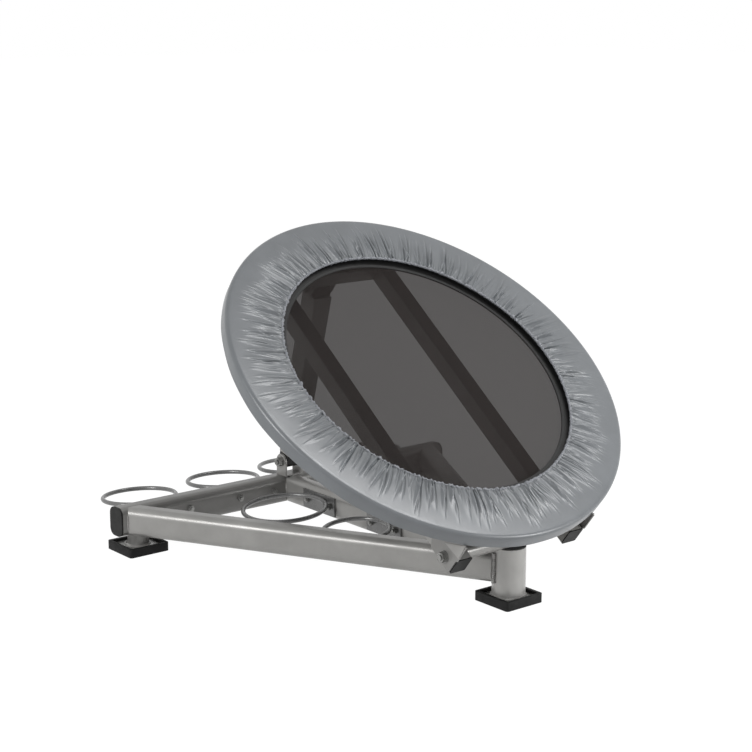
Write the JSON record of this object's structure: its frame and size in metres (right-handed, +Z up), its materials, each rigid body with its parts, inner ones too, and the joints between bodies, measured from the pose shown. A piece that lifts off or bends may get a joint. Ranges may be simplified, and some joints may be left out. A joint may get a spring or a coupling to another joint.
{
  "type": "medicine ball rebounder",
  "caption": "Round tilting trampoline on a triangular tube base with ball rings; an adjustable strut behind sets its angle.",
  "frame": {"origin": "on the floor, at the axis of the front post", "axes": "+Z up, front is -Y where the low edge of the trampoline is, +X is the thrower's right-hand side seen from behind the front"},
  "size_m": [0.942, 1.083, 0.7246],
  "materials": {
    "silver_paint": "satin",
    "bright_rod": "satin",
    "zinc_steel": "satin",
    "black_plastic": "matte",
    "white_nylon": "matte",
    "foot_rubber": "matte",
    "mat_mesh": "matte",
    "black_webbing": "matte",
    "elastic_cord": "matte",
    "pad_foam": "matte",
    "pad_vinyl": "satin",
    "hem_elastic": "matte"
  },
  "bodies": {
    "base": {"back_tube": "silver_paint", "spine_tube": "silver_paint", "left_side_tube": "silver_paint", "right_side_tube": "silver_paint", "front_post": "silver_paint", "post_plug": "black_plastic", "pivot_sleeve": "silver_paint", "sleeve_bushes": "white_nylon", "back_left_cap": "black_plastic", "back_right_cap": "black_plastic", "front_foot_plate": "zinc_steel", "front_foot_rubber": "foot_rubber", "left_foot_stub": "silver_paint", "left_foot_plate": "zinc_steel", "left_foot_rubber": "foot_rubber", "right_foot_stub": "silver_paint", "right_foot_plate": "zinc_steel", "right_foot_rubber": "foot_rubber", "strut_bracket": "silver_paint", "strut_foot_bolt": "zinc_steel", "strut_foot_nut": "zinc_steel", "back_ring_left_outer": "bright_rod", "back_ring_left_inner": "bright_rod", "back_ring_right_inner": "bright_rod", "back_ring_right_outer": "bright_rod", "spine_ring_left_rear": "bright_rod", "spine_ring_left_front": "bright_rod", "spine_ring_right_rear": "bright_rod", "spine_ring_right_front": "bright_rod", "back_ring_bolts": "zinc_steel", "spine_ring_bolts": "zinc_steel"},
    "trampoline": {"left_rail": "silver_paint", "right_rail": "silver_paint", "rail_lower_caps": "black_plastic", "rail_upper_caps": "black_plastic", "left_gusset": "silver_paint", "right_gusset": "silver_paint", "left_standoff": "silver_paint", "right_standoff": "silver_paint", "top_cross_tube": "silver_paint", "strut_top_bracket": "silver_paint", "strut_top_bolt": "zinc_steel", "strut_top_nut": "zinc_steel", "hinge_bolt": "zinc_steel", "hinge_nut": "zinc_steel", "ring_frame": "silver_paint", "mat": "mat_mesh", "mat_band": "black_webbing", "bungee_cords": "elastic_cord", "foam_pad": "pad_foam", "pad_cover": "pad_vinyl", "elastic_hem": "hem_elastic"},
    "strut_lower": {"strut_foot_block": "black_plastic", "strut_inner_tube": "silver_paint"},
    "strut_upper": {"strut_outer_tube": "silver_paint", "strut_bush": "black_plastic", "strut_top_block": "black_plastic"},
    "knob": {"clamp_knob": "black_plastic"}
  },
  "joints": [
    {"name": "tilt", "type": "hinge", "parent": "base", "child": "trampoline", "pos_m": [0, -0.003, 0.133], "axis": [1, 0, 0], "range_deg": [-7, 7]},
    {"name": "strut_swing", "type": "hinge", "parent": "base", "child": "strut_lower", "pos_m": [0, 0.7587, 0.144], "axis": [1, 0, 0], "range_deg": [-4.1, 4.1]},
    {"name": "strut_slide", "type": "slide", "parent": "strut_lower", "child": "strut_upper", "axis": [0, -0.2604, 0.9655], "range_m": [-0.0905, 0.0905]},
    {"name": "knob_turn", "type": "hinge", "parent": "strut_upper", "child": "knob", "pos_m": [0, 0.71235, 0.31586], "axis": [0, 0.9655, 0.2604], "range_deg": [0, 180]}
  ],
  "couplings": [
    {"joint": "strut_swing", "follows": "tilt", "ratio": 0.578},
    {"joint": "strut_slide", "follows": "tilt", "m_per_rad": 0.7385}
  ]
}
